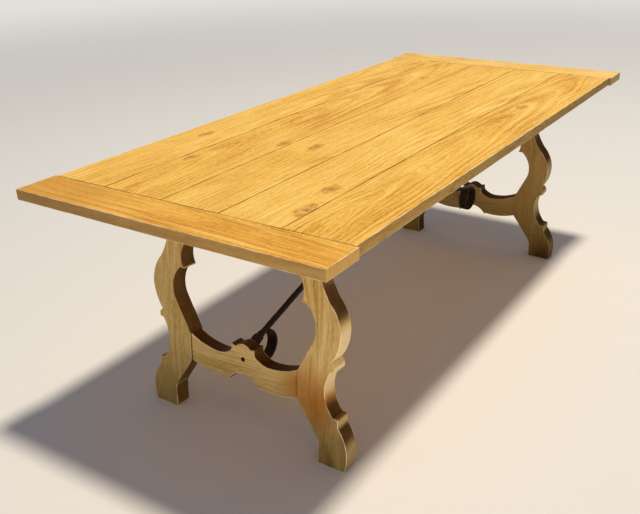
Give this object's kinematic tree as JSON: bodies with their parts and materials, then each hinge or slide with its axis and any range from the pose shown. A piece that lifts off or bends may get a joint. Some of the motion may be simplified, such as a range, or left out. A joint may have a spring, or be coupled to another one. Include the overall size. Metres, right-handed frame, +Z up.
{
  "type": "farmhouse trestle table",
  "caption": "Plank-topped dining table with breadboard ends, on two lyre-shaped scroll-cut trestles tied up to the top by forged iron scroll stays.",
  "frame": {"origin": "on the floor under the middle of the table", "axes": "+X along the table, +Y across it, +Z up; left is -X and front is -Y"},
  "size_m": [2.158, 0.998, 0.762],
  "materials": {
    "top_wood": "waxed honey-coloured softwood planks, worn at the arrises",
    "trestle_wood": "sawn, rasped and waxed, tan with pale arrises",
    "peg_wood": "pale end grain, planed flush",
    "forged_iron": "black-brown waxed forge scale",
    "steel": "blackened, dull"
  },
  "bodies": {
    "root": {"plank_1": "top_wood", "plank_2": "top_wood", "plank_3": "top_wood", "plank_4": "top_wood", "plank_5": "top_wood", "end_board_left": "top_wood", "end_board_right": "top_wood", "end_board_pegs_left": "peg_wood", "end_board_pegs_right": "peg_wood", "centre_batten": "trestle_wood", "batten_screws": "steel", "leg_left_front": "trestle_wood", "leg_left_back": "trestle_wood", "leg_right_front": "trestle_wood", "leg_right_back": "trestle_wood", "leg_edge_left_front": "trestle_wood", "leg_edge_left_back": "trestle_wood", "leg_edge_right_front": "trestle_wood", "leg_edge_right_back": "trestle_wood", "crossbar_left": "trestle_wood", "crossbar_right": "trestle_wood", "bearer_left": "trestle_wood", "bearer_right": "trestle_wood", "bearer_pegs_left": "peg_wood", "bearer_pegs_right": "peg_wood", "bearer_screws_left": "steel", "bearer_screws_right": "steel", "iron_stay_left": "forged_iron", "iron_stay_right": "forged_iron", "stay_bolt_left": "steel", "stay_bolt_right": "steel", "stay_washer_left": "steel", "stay_washer_right": "steel", "stay_nut_left": "steel", "stay_nut_right": "steel", "stay_foot_screws_left": "steel", "stay_foot_screws_right": "steel"}
  },
  "joints": []
}
